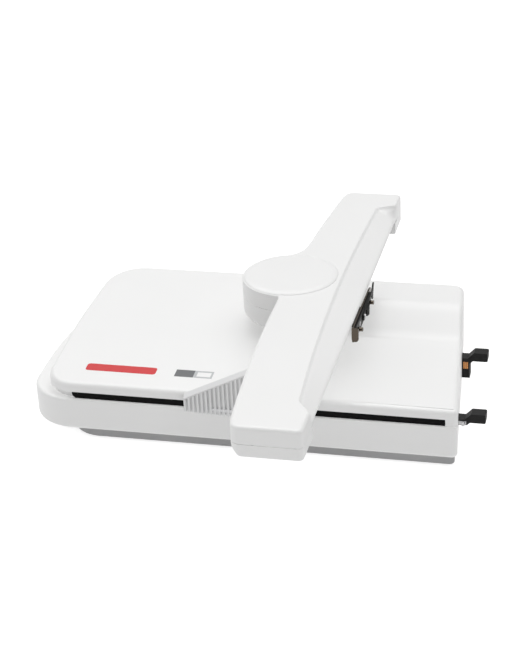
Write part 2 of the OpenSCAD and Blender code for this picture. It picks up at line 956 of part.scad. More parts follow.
module main_board() {
    color("#2f6f46") difference() {
        union() {
            block([-120, 22, board_z], [20, 104, board_z + 1.6]);
            block([-104, 34, board_z + 1.6], [-86, 52, board_z + 4]);
            block([-60, 40, board_z + 1.6], [-40, 60, board_z + 3.6]);
            block([-20, 84, board_z + 1.6], [8, 98, board_z + 10]);
            for (x = [-20, -6, 8])
                rod_z(board_z + 1.6, board_z + 14, x, 44, 5);
        }
        for (x = [-114, 14], y = [28, 98])
            rod_z(board_z - 1, board_z + 3, x, y, 1.6);
    }
}

module board_posts() {
    color(steel)
        for (x = [-114, 14], y = [28, 98]) {
            rod_z(deck_z, board_z, x, y, 3.5);
            rod_z(board_z, board_z + 2, x, y, 1.5);
            rod_z(board_z + 1.6, board_z + 3.2, x, y, 3);
        }
}

module machine_plug() {
    plug_x = right_x(rear_hook_y) - 30;
    color(black)
        block([plug_x, rear_hook_y - 12, 14], [plug_x + 18, rear_hook_y + 12, 30]);
}

module wiring_loom() {
    plug_x = right_x(rear_hook_y) - 30;
    loom_z = board_z + 6;
    color(black) {
        rod_x(8.5, plug_x, 90, loom_z, 2);
        rod_y(rear_hook_y, 90, plug_x - 2, loom_z, 2);
    }
}

module x_home_sensor() {
    color(black) difference() {
        block([140, -64, deck_z], [148, -58, 26]);
        block([139, -62, 20], [149, -60, 27]);
    }
}

// ---- Hooks on the right side ----

// Outline of a hook in the XZ plane: a thin root and a thicker, chamfered end
function hook_outline(x) = rounded(
    [
        [x - 8, hook_z - 7.6], [x + 8, hook_z - 7.6], [x + 11, hook_z - 4.8], [x + hook_len, hook_z - 4.8],
        [x + hook_len, hook_z + 4.4], [x + 12, hook_z + 4.4], [x + 6, hook_z - 2], [x - 8, hook_z - 2],
    ],
    [0.5, 1, 1, 1.5, 1.5, 2, 1.5, 0.5],
    5
);

module front_hook() {
    x = right_x(front_hook_y);
    color(black) difference() {
        sweep_y(front_hook_y - 6, front_hook_y + 6)
            polygon(hook_outline(x));
        block([x + 12, front_hook_y - 2.5, hook_z - 6], [x + 18, front_hook_y + 2.5, hook_z + 1.5]);
        rod_x(x - 9, x + 5, front_hook_y, hook_core_z, 1.6);
    }
}

// Steel core of the front hook, and a plate on its side with the pin that locates the module on the machine
module front_hook_pin() {
    x = right_x(front_hook_y);
    side_y = front_hook_y - 6;
    color(steel) {
        rod_x(x - 8, x + 5, front_hook_y, hook_core_z, 1.6);
        block([x + 0.2, side_y - 0.6, hook_core_z - 1.7], [x + 7.5, side_y, hook_core_z + 1.7]);
        rod_y(side_y - 4.6, side_y, x + 5, hook_core_z, 1.6);
    }
}

// The stem under the hook carries the spring contacts
module rear_hook() {
    x = right_x(rear_hook_y);
    side_y = rear_hook_y - 6;
    color(black) difference() {
        union() {
            sweep_y(side_y, rear_hook_y + 6)
                polygon(hook_outline(x));
            block([x, side_y, 16], [x + 8, rear_hook_y + 6, hook_z - 3]);
            block([x - 12, side_y, 18], [x, rear_hook_y + 6, 30]);
        }
        block([x + 12, rear_hook_y - 2.5, hook_z - 6], [x + 18, rear_hook_y + 2.5, hook_z + 1.5]);
        block([x + 1.2, side_y - 1, 25.8], [x + 6.4, side_y + 1.6, 34.2]);
    }
}

module contact_strip() {
    x = right_x(rear_hook_y);
    side_y = rear_hook_y - 6;
    color("#c8722f")
        for (i = [-1:1])
            block([x + 3.8 + i * 1.7 - 0.7, side_y + 0.1, 26.2], [x + 3.8 + i * 1.7 + 0.7, side_y + 1.6, 33.8]);
}

// ---- Plain marks on the lid ----

mark_y = -66;
bar_x = -132.5;
badge_x = -58;
mark_sink = 0.6;
mark_t = 0.75;
lid_tilt = atan2(ridge_z - rim_z, back_y - front_y);

// Places a flat mark in the lid's surface, raised by lift
module on_lid(x, y, lift) {
    translate([x, y, lid_z(y) + lift])
        rotate([lid_tilt, 0, 0])
            children();
}

// The bar's body, as thick as it's asked to be
module bar_solid(thick) {
    on_lid(bar_x, mark_y, -mark_sink)
        linear_extrude(thick)
            polygon(rounded([[-36, -6], [36, -6], [36, 6], [-36, 6]], [3, 3, 3, 3], 5));
}

// Pockets in the lid that the bar and the badge sit in
module mark_pockets() {
    bar_solid(mark_sink + 1);
    on_lid(badge_x, mark_y, -mark_sink)
        linear_extrude(mark_sink + 1)
            translate([-19, -6])
                square([38, 12]);
}

module colour_bar() {
    color("#d2232a")
        bar_solid(mark_t);
}

module badge_plate() {
    color("#77797c")
        on_lid(badge_x, mark_y, -mark_sink)
            linear_extrude(mark_t)
                translate([-19, -6])
                    square([19, 12]);
}

module badge_frame() {
    color("#c9cacc")
        on_lid(badge_x, mark_y, -mark_sink)
            linear_extrude(mark_t)
                difference() {
                    translate([0, -6])
                        square([19, 12]);
                    translate([3, -4])
                        square([14, 8]);
                }
}

base_tray();
rubber_feet();
lower_shell();
left_cover();
right_cover();
slot_seals();
case_screws();
x_rods();
rod_blocks();
x_motor();
motor_bracket();
idler_bracket();
main_board();
board_posts();
machine_plug();
wiring_loom();
x_home_sensor();
front_hook();
front_hook_pin();
rear_hook();
contact_strip();
colour_bar();
badge_plate();
badge_frame();
x_belt();
x_drive_pulley();
x_idler_pulley();
x_slider();
x_bushes();
x_belt_clamp();
slot_tongue();
ribbed_foot();
foot_screws();
arm_lower_shell();
arm_upper_shell();
hub_cap();
arm_frame();
y_rods();
y_motor();
y_belt();
belt_guides();
idler_posts();
arm_screws();
y_home_sensor();
y_drive_pulley();
y_front_idler();
y_rear_idler();
y_slider();
y_bushes();
y_belt_clamp();
coupler_plate();
coupler_block();
hoop_pins();
coupler_screws();
latch_pivot();
latch_lever();
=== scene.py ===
"""Looks for the embroidery module: moulded shells, ribbed foot, marks, materials, light and camera.

Lengths inside the shape functions are millimetres in the CAD's own frame; new_mesh() turns them into metres.
"""
import json
import math

import bmesh
import bpy
import numpy as np
from mathutils import Matrix, Vector


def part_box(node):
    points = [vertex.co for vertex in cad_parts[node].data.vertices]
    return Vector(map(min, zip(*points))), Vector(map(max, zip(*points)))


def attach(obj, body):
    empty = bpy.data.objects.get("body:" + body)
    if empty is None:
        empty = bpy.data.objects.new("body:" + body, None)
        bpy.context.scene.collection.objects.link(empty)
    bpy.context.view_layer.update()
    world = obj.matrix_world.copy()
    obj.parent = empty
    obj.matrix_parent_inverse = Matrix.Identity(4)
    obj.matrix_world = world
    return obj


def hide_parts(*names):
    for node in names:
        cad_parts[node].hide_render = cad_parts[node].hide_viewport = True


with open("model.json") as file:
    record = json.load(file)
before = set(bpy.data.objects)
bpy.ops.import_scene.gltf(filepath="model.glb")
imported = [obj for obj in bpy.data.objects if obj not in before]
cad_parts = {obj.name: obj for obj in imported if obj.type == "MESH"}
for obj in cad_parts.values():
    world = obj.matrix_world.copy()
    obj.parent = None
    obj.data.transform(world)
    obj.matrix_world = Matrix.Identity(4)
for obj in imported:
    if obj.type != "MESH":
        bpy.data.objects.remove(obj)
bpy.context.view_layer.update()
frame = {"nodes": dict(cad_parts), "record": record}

MM = 0.001


def box_mm(node):
    """Lowest and highest corner of a CAD node, in millimetres."""
    low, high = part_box(node)
    return Vector(low) / MM, Vector(high) / MM


# ---- Sizes read from the frame ----

tray_low, tray_high = box_mm("base_tray")
shell_low, shell_high = box_mm("lower_shell")
left_low, left_high = box_mm("left_cover")
right_low, right_high = box_mm("right_cover")
lower_arm_low, _ = box_mm("arm_lower_shell")
upper_arm_low, upper_arm_high = box_mm("arm_upper_shell")
cap_low, cap_high = box_mm("hub_cap")
foot_low, foot_high = box_mm("ribbed_foot")
seal_low, seal_high = box_mm("slot_seals")

# housing: both covers share one outline and meet at SPLIT_X
FRONT_Y = left_low.y
BACK_Y = left_high.y
RIGHT_X = right_high.x
RIGHT_LEAN = 0.1
SPLIT_X = right_low.x
RIM_Z = 60.0
RIDGE_Z = right_high.z
LID_LEFT = -205.5
SHELL_LEFT = -227.0
SHELL_WALL = 2.2
COVER_WALL = 1.8

# the slot along the front, between the lower shell and the covers
SLOT_LOW = shell_high.z
SLOT_HIGH = SLOT_LOW + 7.0
SLOT_LEFT = seal_low.x - 3.0
SLOT_RIGHT = seal_high.x + 3.0
SLOT_JUMP = 0.15  # half the width over which a cover's lower edge drops at the slot's ends

# the right cover's ramp
STEP_FOOT_Y = 48.0
STEP_TOP_Y = 84.0

# a cover's lower edge: its gap to the shell, how far the skirt stands back, and the small round of the lip
COVER_GAP = 0.15
SKIRT_INSET = 4.5
LIP_R = 0.7
LIP_BACK = 0.6

# a cover's top edge: full round, tight along the split with small corners there
EDGE_R = 5.0
SPLIT_EDGE_R = 1.2
SPLIT_CORNER = 1.5
EDGE_STEPS = 7

# arm: its left side and the ridge on its top are shallow curves, x = place + skew * y + bow * y * y
ARM_HALF = upper_arm_high.y
ARM_LEFT = 16.0
ARM_SKEW = 0.006
ARM_BOW = 0.000206
ARM_RIGHT = upper_arm_high.x
ARM_TOP = upper_arm_high.z
ARM_SPLIT = upper_arm_low.z
ARM_LOW = 95.0
ARM_WALL = 1.6
CAP_LEN = 42.0
RIDGE_X = 70.3
RIDGE_SKEW = -0.0163
RIDGE_BOW = 0.000158
LIP_Z = 113.0
OPEN_TOP = 111.0
FLOOR_RIGHT = 86.5
FLOOR_T = 2.0
SEAM = 0.18
SEAM_R = 0.3

# the round housing on the arm, and the flare that joins it to the arm behind
HUB_X = (cap_low.x + cap_high.x) / 2
HUB_Y = (cap_low.y + cap_high.y) / 2
HUB_R = 49.0
HUB_LOW = lower_arm_low.z
HUB_START = 267  # angle in degrees where the round housing leaves the arm in front
FLARE_R = 36.0
FLARE_RIGHT = ARM_LEFT + 3
POLE_R = 0.01  # radius of the points in the middle of a turned face


# ---- Small geometry helpers ----


def smooth(t):
    """0 below 0, 1 above 1, and an even curve between them."""
    t = min(1.0, max(0.0, t))
    return t * t * (3 - 2 * t)


def arc(x, y, r, start, end, count):
    """Points on a circle from one angle to another, in degrees."""
    angles = np.radians(np.linspace(start, end, count + 1))
    return [(x + r * math.cos(a), y + r * math.sin(a)) for a in angles]


def rounded(points, radii, count):
    """A closed outline whose vertices are rounded by the matching radii."""
    result = []
    for i, (point, r) in enumerate(zip(points, radii)):
        p = Vector(point)
        u = (Vector(points[i - 1]) - p).normalized()
        v = (Vector(points[(i + 1) % len(points)]) - p).normalized()
        half = math.acos(max(-1, min(1, u.dot(v)))) / 2
        centre = p + (u + v).normalized() * r / math.sin(half)
        first = p + u * r / math.tan(half) - centre
        last = p + v * r / math.tan(half) - centre
        start = math.atan2(first.y, first.x)
        sweep = (math.atan2(last.y, last.x) - start + math.pi) % (2 * math.pi) - math.pi
        for k in range(count + 1):
            a = start + sweep * k / count
            result.append((centre.x + r * math.cos(a), centre.y + r * math.sin(a)))
    return result


def subdivide(outline, longest):
    """The same closed outline with no edge longer than longest."""
    result = []
    for a, b in zip(outline, outline[1:] + outline[:1]):
        parts = max(1, math.ceil(math.dist(a, b) / longest))
        for k in range(parts):
            result.append((a[0] + (b[0] - a[0]) * k / parts, a[1] + (b[1] - a[1]) * k / parts))
    return result


def inward(outline):
    """Unit normals that point into an outline that runs anticlockwise."""
    pts = np.array(outline, float)
    ahead = np.roll(pts, -1, axis=0) - pts
    behind = pts - np.roll(pts, 1, axis=0)
    ahead /= np.maximum(np.linalg.norm(ahead, axis=1, keepdims=True), 1e-9)
    behind /= np.maximum(np.linalg.norm(behind, axis=1, keepdims=True), 1e-9)
    along = ahead + behind
    along /= np.maximum(np.linalg.norm(along, axis=1, keepdims=True), 1e-9)
    return np.stack([-along[:, 1], along[:, 0]], axis=1)


def new_mesh(name, verts, faces, merge=0.0):
    """A mesh object from millimetre points, with doubles merged and normals made to point outwards."""
    mesh = bpy.data.meshes.new(name)
    mesh.from_pydata([(x * MM, y * MM, z * MM) for x, y, z in verts], [], faces)
    obj = bpy.data.objects.new(name, mesh)
    bpy.context.scene.collection.objects.link(obj)
    bm = bmesh.new()
    bm.from_mesh(mesh)
    if merge:
        bmesh.ops.remove_doubles(bm, verts=bm.verts, dist=merge * MM)
    bmesh.ops.dissolve_degenerate(bm, edges=bm.edges, dist=1e-6)
    bmesh.ops.recalc_face_normals(bm, faces=bm.faces)
    bm.to_mesh(mesh)
    bm.free()
    return obj


def apply_modifiers(obj):
    """Bakes the object's modifiers into its mesh."""
    graph = bpy.context.evaluated_depsgraph_get()
    baked = bpy.data.meshes.new_from_object(obj.evaluated_get(graph))
    obj.modifiers.clear()
    obj.data = baked


def solidify(obj, thickness):
    """Gives an open surface a thickness on its inner side."""
    mesh = obj.data
    area = sum(p.area for p in mesh.polygons)
    middle = sum((p.center * p.area for p in mesh.polygons), Vector()) / area
    outward = sum(p.normal.dot(p.center - middle) * p.area for p in mesh.polygons)
    if outward < 0:
        mesh.flip_normals()
    mod = obj.modifiers.new("thickness", "SOLIDIFY")
    mod.thickness = thickness * MM
    mod.offset = -1
    apply_modifiers(obj)


def shade(obj, angle=35):
    """Smooth shading that keeps edges sharper than angle, with large faces kept flat."""
    for polygon in obj.data.polygons:
        polygon.use_smooth = True
    obj.data.set_sharp_from_angle(angle=math.radians(angle))
    mod = obj.modifiers.new("weighted", "WEIGHTED_NORMAL")
    mod.keep_sharp = True
    mod.weight = 80
    apply_modifiers(obj)


def loft(rings):
    """Faces that join closed rings of points with the same count."""
    count = len(rings[0])
    faces = []
    for r in range(len(rings) - 1):
        for i in range(count):
            j = (i + 1) % count
            faces.append((r * count + i, r * count + j, (r + 1) * count + j, (r + 1) * count + i))
    return faces


def ring_mesh(name, rings, cap_first=False, cap_last=False):
    """A mesh lofted through closed rings of points. cap_first and cap_last close its ends."""
    faces = loft(rings)
    count = len(rings[0])
    if cap_first:
        faces.append(tuple(range(count))[::-1])
    if cap_last:
        first = (len(rings) - 1) * count
        faces.append(tuple(range(first, first + count)))
    return new_mesh(name, [p for ring in rings for p in ring], faces, merge=0.01)


def station_mesh(name, stations, wall, front_rows, back_rows):
    """A mesh lofted across open rows of points. A row has wall points at each end, and its top between them.

    The first front_rows and the last back_rows belong to the front and back edges and their corners. Their
    tops lie in one plane, so each of the two groups meets the next row with one large face.
    """
    count = len(stations[0])
    last = len(stations) - 1
    lead, tail = front_rows - 1, last - back_rows + 1
    left, right = wall - 1, count - wall
    faces = []
    for r in range(last):
        for i in range(count - 1):
            if left <= i < right and not lead < r < tail - 1:
                continue
            faces.append((r * count + i, r * count + i + 1, (r + 1) * count + i + 1, (r + 1) * count + i))
    across = range(right, left - 1, -1)
    front = [r * count + left for r in range(lead, -1, -1)]
    front += [r * count + right for r in range(1, lead + 1)]
    front += [(lead + 1) * count + i for i in across]
    back = [r * count + left for r in range(tail, last + 1)]
    back += [r * count + right for r in range(last - 1, tail - 1, -1)]
    back += [(tail - 1) * count + i for i in across]
    faces += [tuple(front), tuple(back)]
    return new_mesh(name, [p for row in stations for p in row], faces, merge=0.02)


def row_with_middle(a, b, z):
    """One row across the top: left points, the middle, right points."""
    middle = ((a[-1][0] + b[0][0]) / 2, (a[-1][1] + b[0][1]) / 2, z)
    return a + [middle] + b


def inset_ring(outline, normals, inset, height):
    """A ring of an outline moved inwards. inset and height are numbers or functions of the outline point."""
    ring = []
    for (x, y), n in zip(outline, normals):
        step = inset(x, y) if callable(inset) else inset
        px, py = x + n[0] * step, y + n[1] * step
        ring.append((px, py, height(x, y, px, py) if callable(height) else height))
    return ring


def revolve(name, profile, x, y, segments, keep=None):
    """A profile of (radius, z) points turned about a vertical axis. keep chooses faces by their middles."""
    rings = []
    for r, z in profile:
        rings.append([(px, py, z) for px, py in arc(x, y, r, 0, 360, segments)[:-1]])
    faces = loft(rings)
    verts = [p for ring in rings for p in ring]
    if keep:
        faces = [f for f in faces if keep(*(sum(verts[i][k] for i in f) / 4 for k in range(3)))]
    return new_mesh(name, verts, faces, merge=0.01)


def prism(name, outline, low_y, high_y, bevel, segments=3):
    """An XZ outline swept along Y, with rounded edges."""
    count = len(outline)
    verts = [(x, low_y, z) for x, z in outline] + [(x, high_y, z) for x, z in outline]
    faces = [tuple(range(count)), tuple(range(2 * count - 1, count - 1, -1))]
    for i in range(count):
        j = (i + 1) % count
        faces.append((i, j, count + j, count + i))
    obj = new_mesh(name, verts, faces)
    mod = obj.modifiers.new("round", "BEVEL")
    mod.width = bevel * MM
    mod.segments = segments
    mod.limit_method = "ANGLE"
    mod.angle_limit = math.radians(25)
    apply_modifiers(obj)
    return obj


def join_meshes(name, objs):
    """One object that holds several meshes."""
    bm = bmesh.new()
    for obj in objs:
        bm.from_mesh(obj.data)
        bpy.data.objects.remove(obj)
    mesh = bpy.data.meshes.new(name)
    bm.to_mesh(mesh)
    bm.free()
    joined = bpy.data.objects.new(name, mesh)
    bpy.context.scene.collection.objects.link(joined)
    return joined


def fillet(radius, steps):
    """(inset, drop) pairs that round an edge, from the wall to the top."""
    for k in range(steps + 1):
        a = math.radians(90 * k / steps)
        yield radius * (1 - math.cos(a)), radius * (1 - math.sin(a))


def edge_rings(outline, normals, radius, top, steps):
    """Rings over a rounded top edge. radius and top are functions of a point's x and y."""
    rings = []
    for across, drop in fillet(1.0, steps):
        rings.append(
            inset_ring(
                outline,
                normals,
                lambda x, y, across=across: radius(x, y) * across,
                lambda x, y, px, py, drop=drop: top(px, py) - radius(x, y) * drop,
            )
        )
    return rings


def side_normals(left, right):
    """Inward normals along two sides of an outline. The sides share their first and last points."""
    normals = inward(right + left[-2:0:-1])
    count = len(right)
    return [normals[0], *normals[count:][::-1], normals[count - 1]], normals[:count]


# ---- Materials ----


def material(name, base, roughness, metallic=0.0):
    """A new node material with its Principled shader's main values set."""
    mat = bpy.data.materials.new(name)
    mat.use_nodes = True
    shader = mat.node_tree.nodes["Principled BSDF"]
    shader.inputs["Base Color"].default_value = (*base, 1)
    shader.inputs["Roughness"].default_value = roughness
    shader.inputs["Metallic"].default_value = metallic
    return mat, shader


def add_noise(mat, scale, detail, stretch=(1, 1, 1)):
    """A noise texture in object space. scale is in features per metre."""
    nodes, links = mat.node_tree.nodes, mat.node_tree.links
    place = nodes.new("ShaderNodeTexCoord")
    mapping = nodes.new("ShaderNodeMapping")
    mapping.inputs["Scale"].default_value = stretch
    noise = nodes.new("ShaderNodeTexNoise")
    noise.inputs["Scale"].default_value = scale
    noise.inputs["Detail"].default_value = detail
    links.new(place.outputs["Object"], mapping.inputs["Vector"])
    links.new(mapping.outputs["Vector"], noise.inputs["Vector"])
    return noise


def add_range(mat, source, low, high):
    """Maps a texture's 0 to 1 onto low to high."""
    node = mat.node_tree.nodes.new("ShaderNodeMapRange")
    node.inputs["To Min"].default_value = low
    node.inputs["To Max"].default_value = high
    mat.node_tree.links.new(source, node.inputs["Value"])
    return node.outputs["Result"]


def add_bump(mat, shader, source, strength, depth_mm):
    """Feeds a texture to the shader as bump of a given depth."""
    bump = mat.node_tree.nodes.new("ShaderNodeBump")
    bump.inputs["Strength"].default_value = strength
    bump.inputs["Distance"].default_value = depth_mm * MM
    mat.node_tree.links.new(source, bump.inputs["Height"])
    mat.node_tree.links.new(bump.outputs["Normal"], shader.inputs["Normal"])


def tint(mat, shader, source, dark, light):
    """Colours the base between two shades by a texture."""
    ramp = mat.node_tree.nodes.new("ShaderNodeValToRGB")
    ramp.color_ramp.elements[0].position = 0.3
    ramp.color_ramp.elements[1].position = 0.7
    ramp.color_ramp.elements[0].color = (*dark, 1)
    ramp.color_ramp.elements[1].color = (*light, 1)
    mat.node_tree.links.new(source, ramp.inputs["Fac"])
    mat.node_tree.links.new(ramp.outputs["Color"], shader.inputs["Base Color"])


def moulded(name, base, roughness, grain=1500.0, depth=0.02, spread=0.02, coat=0.0, specular=0.5):
    """Moulded plastic: fine spark-eroded grain, slow colour drift and uneven gloss.

    grain is in features per metre and depth in millimetres. spread is the share by which the colour darkens.
    """
    mat, shader = material(name, base, roughness)
    drift = add_noise(mat, 9.0, 2.0)
    dark = tuple(c * (1 - spread) for c in base)
    tint(mat, shader, drift.outputs["Fac"], dark, base)
    grain_noise = add_noise(mat, grain, 2.0)
    add_bump(mat, shader, grain_noise.outputs["Fac"], 0.35, depth)
    gloss = add_noise(mat, 40.0, 3.0)
    spot = add_range(mat, gloss.outputs["Fac"], roughness - 0.05, roughness + 0.06)
    mat.node_tree.links.new(spot, shader.inputs["Roughness"])
    shader.inputs["Specular IOR Level"].default_value = specular
    shader.inputs["Coat Weight"].default_value = coat
    shader.inputs["Coat Roughness"].default_value = 0.15
    return mat


def mark(name, base, roughness, spread):
    """A printed or inlaid mark: finer grain than the shells and a light coat."""
    return moulded(name, base, roughness, grain=1600.0, depth=0.008, spread=spread, coat=0.2)


def brushed(name, base, roughness, stretch=(1, 1, 1), scratch=1200.0):
    """Metal with fine scratches along one direction and slightly uneven polish."""
    mat, shader = material(name, base, roughness, metallic=1.0)
    lines = add_noise(mat, scratch, 4.0, stretch)
    add_bump(mat, shader, lines.outputs["Fac"], 0.25, 0.01)
    spot = add_range(mat, lines.outputs["Fac"], roughness * 0.7, roughness * 1.4)
    mat.node_tree.links.new(spot, shader.inputs["Roughness"])
    blotch = add_noise(mat, 60.0, 2.0)
    tint(mat, shader, blotch.outputs["Fac"], tuple(c * 0.9 for c in base), base)
    return mat


MATERIAL_OF_SLOT = {
    "white_shell": moulded(
        "white_shell", (0.83, 0.83, 0.826), 0.38, grain=1800.0, depth=0.012, spread=0.015, coat=0.12
    ),
    "grey_plastic": moulded("grey_foot", (0.75, 0.752, 0.754), 0.48, spread=0.04),
    "dark_plastic": moulded("dark_plastic", (0.38, 0.38, 0.385), 0.55, grain=1200.0, depth=0.03, spread=0.15),
    "black_plastic": moulded(
        "black_plastic", (0.012, 0.012, 0.012), 0.42, grain=1300.0, depth=0.03, spread=0.3, specular=0.2
    ),
    "black_rubber": moulded(
        "black_rubber", (0.006, 0.006, 0.006), 0.75, grain=900.0, depth=0.05, spread=0.3, specular=0.1
    ),
    "motor_black": moulded("motor_black", (0.03, 0.03, 0.034), 0.4, grain=700.0, depth=0.03, spread=0.2),
    "board_green": moulded("board_green", (0.03, 0.16, 0.07), 0.35, grain=500.0, spread=0.25, coat=0.3),
    "mark_red": mark("mark_red", (0.62, 0.012, 0.016), 0.35, 0.06),
    "mark_grey": mark("mark_grey", (0.13, 0.135, 0.14), 0.35, 0.08),
    "mark_silver": mark("mark_silver", (0.5, 0.51, 0.52), 0.3, 0.05),
    "steel": brushed("steel", (0.62, 0.62, 0.63), 0.28, stretch=(1, 12, 1)),
    "bright_metal": brushed("bright_metal", (0.12, 0.1, 0.08), 0.2, stretch=(4, 1, 1), scratch=900.0),
    "frame_metal": brushed("frame_metal", (0.7, 0.71, 0.72), 0.4, stretch=(1, 0.1, 1), scratch=700.0),
    "bush_bronze": brushed("bush_bronze", (0.62, 0.43, 0.22), 0.45),
    "contact_copper": brushed("contact_copper", (0.72, 0.33, 0.13), 0.25, stretch=(1, 1, 6)),
}


def finish_piece(obj, body, slot, *nodes):
    """Gives a new piece its material and body, and lets it stand for CAD nodes."""
    obj.data.materials.clear()
    obj.data.materials.append(MATERIAL_OF_SLOT[slot])
    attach(obj, body)
    if nodes:
        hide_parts(*nodes)


# ---- Housing outlines, the same rules as the CAD's ----


def right_x(y):
    """The housing's slanted right side."""
    return RIGHT_X - RIGHT_LEAN * (y - FRONT_Y)


def lid_z(y):
    """Height of the sloped lid."""
    return RIM_Z + (RIDGE_Z - RIM_Z) * (y - FRONT_Y) / (BACK_Y - FRONT_Y)


def step_z(y):
    """Height of the right cover: low flat, ramp with soft ends, ridge."""
    foot_round, top_round = 7.0, 9.0
    slope = (RIDGE_Z - RIM_Z) / (STEP_TOP_Y - STEP_FOOT_Y)
    if y <= STEP_FOOT_Y - foot_round:
        return RIM_Z
    if y >= STEP_TOP_Y + top_round:
        return RIDGE_Z
    if y < STEP_FOOT_Y + foot_round:
        t = y - STEP_FOOT_Y + foot_round
        return RIM_Z + slope * t * t / (4 * foot_round)
    if y > STEP_TOP_Y - top_round:
        t = STEP_TOP_Y + top_round - y
        return RIDGE_Z - slope * t * t / (4 * top_round)
    return RIM_Z + slope * (y - STEP_FOOT_Y)


def shell_plan():
    """The lower shell's outline."""
    return rounded(
        [
            (RIGHT_X, FRONT_Y - 1.5),
            (right_x(BACK_Y), BACK_Y),
            (SHELL_LEFT + 14, BACK_Y),
            (SHELL_LEFT - 1.5, 20),
            (SHELL_LEFT + 3, FRONT_Y - 1.5),
        ],
        [5, 12, 46, 500, 46],
        16,
    )


def cover_plan():
    """The outline that both covers share."""
    return rounded(
        [
            (RIGHT_X, FRONT_Y),
            (right_x(BACK_Y), BACK_Y),
            (LID_LEFT + 6, BACK_Y),
            (LID_LEFT - 1, 20),
            (LID_LEFT + 1, FRONT_Y),
        ],
        [5, 12, 40, 500, 30],
        16,
    )


def tray_plan():
    """The plinth's outline."""
    return rounded(
        [
            (RIGHT_X - 3, FRONT_Y + 3),
            (right_x(BACK_Y) - 5, BACK_Y - 6),
            (LID_LEFT + 20, BACK_Y - 6),
            (LID_LEFT + 20, FRONT_Y + 3),
        ],
        [5, 10, 30, 34],
        14,
    )


# ---- Housing pieces ----


def build_tray():
    outline = subdivide(tray_plan(), 20)
    normals = inward(outline)
    rings = []
    for inset, drop in reversed(list(fillet(1.2, 4))):
        rings.append(inset_ring(outline, normals, inset, tray_low.z + drop))
    rings.append(inset_ring(outline, normals, 0, tray_high.z))
    obj = ring_mesh("base_tray_skin", rings, cap_first=True, cap_last=True)
    shade(obj)
    finish_piece(obj, "housing", "dark_plastic", "base_tray")


def build_lower_shell():
    """The body under the slot: a floor edge, the wall, and a ledge that runs in under the covers."""
    outer = shell_plan()
    inner = cover_plan()
    normals_out = inward(outer)
    normals_in = inward(inner)
    bottom_r = 5.0
    floor_width = 16.0

    def top_r(x, y):
        """Tight along the slot, and softer round the ledge at the left end."""
        return 0.9 + 2.6 * smooth((-150 - x) / 50)

    rings = [inset_ring(outer, normals_out, inset, shell_low.z) for inset in (floor_width, bottom_r + 1)]
    for inset, drop in reversed(list(fillet(bottom_r, 6))):
        rings.append(inset_ring(outer, normals_out, inset, shell_low.z + drop))
    rings += edge_rings(outer, normals_out, top_r, lambda x, y: SLOT_LOW, 5)
    # in under the covers, and down inside them
    rings.append(inset_ring(inner, normals_in, SKIRT_INSET, SLOT_LOW))
    rings.append(inset_ring(inner, normals_in, SKIRT_INSET + 0.5, SLOT_LOW - 3))
    obj = ring_mesh("lower_shell_skin", rings)
    solidify(obj, SHELL_WALL)
    shade(obj)
    finish_piece(obj, "housing", "white_shell", "lower_shell")


def in_slot(x, y):
    """Whether an outline point lies over the front slot."""
    return y < FRONT_Y + 0.5 and SLOT_LEFT < x < SLOT_RIGHT


def skirt_z(x, y):
    """Height of a cover's inner skirt: above the slot, or just clear of the lower shell."""
    return SLOT_HIGH + 0.5 if in_slot(x, y) else SLOT_LOW + 0.1


def cover_edge_r(from_split):
    """Radius of a cover's top edge at a distance from the split."""
    return SPLIT_EDGE_R + (EDGE_R - SPLIT_EDGE_R) * smooth((from_split - SPLIT_CORNER) / 14)


def build_left_cover():
    """The sloped lid: the shared outline left of the split, with small corners at the split."""
    plan = [p for p in cover_plan() if p[0] < SPLIT_X]
    corner = SPLIT_CORNER
    back = arc(SPLIT_X - corner, BACK_Y - corner, corner, 0, 90, 4)
    front = arc(SPLIT_X - corner, FRONT_Y + corner, corner, -90, 0, 4)
    # the plan starts at its rightmost point along the back, next to the corner at the split
    start = max(range(len(plan)), key=lambda i: plan[i][1] + 0.001 * plan[i][0])
    plan = plan[start:] + plan[:start]
    outline = subdivide(front + back + plan, 12)
    first = outline.index(min(p for p in outline if in_slot(*p)))
    outline[first:first] = [(SLOT_LEFT - SLOT_JUMP, FRONT_Y), (SLOT_LEFT + SLOT_JUMP, FRONT_Y)]

    def bottom(x, y):
        """The lid's lower edge: over the slot, then falling round the front left corner to a thin gap."""
        side = SLOT_LOW + COVER_GAP + 2.4 * smooth((-120 - x) / 40)
        if y > 0:
            return side
        return SLOT_HIGH + (side - SLOT_HIGH) * smooth((y - FRONT_Y) / 36)

    normals = inward(outline)
    rings = [
        inset_ring(outline, normals, SKIRT_INSET, lambda x, y, px, py: skirt_z(x, y)),
        inset_ring(outline, normals, SKIRT_INSET, lambda x, y, px, py: bottom(x, y) + LIP_BACK),
        inset_ring(outline, normals, LIP_R, lambda x, y, px, py: bottom(x, y)),
        inset_ring(outline, normals, 0.0, lambda x, y, px, py: bottom(x, y) + LIP_R),
    ]
    rings += edge_rings(
        outline, normals, lambda x, y: cover_edge_r(SPLIT_X - x), lambda x, y: lid_z(y), EDGE_STEPS
    )
    obj = ring_mesh("left_cover_skin", rings, cap_last=True)
    solidify(obj, COVER_WALL)
    shade(obj)
    finish_piece(obj, "housing", "white_shell", "left_cover")


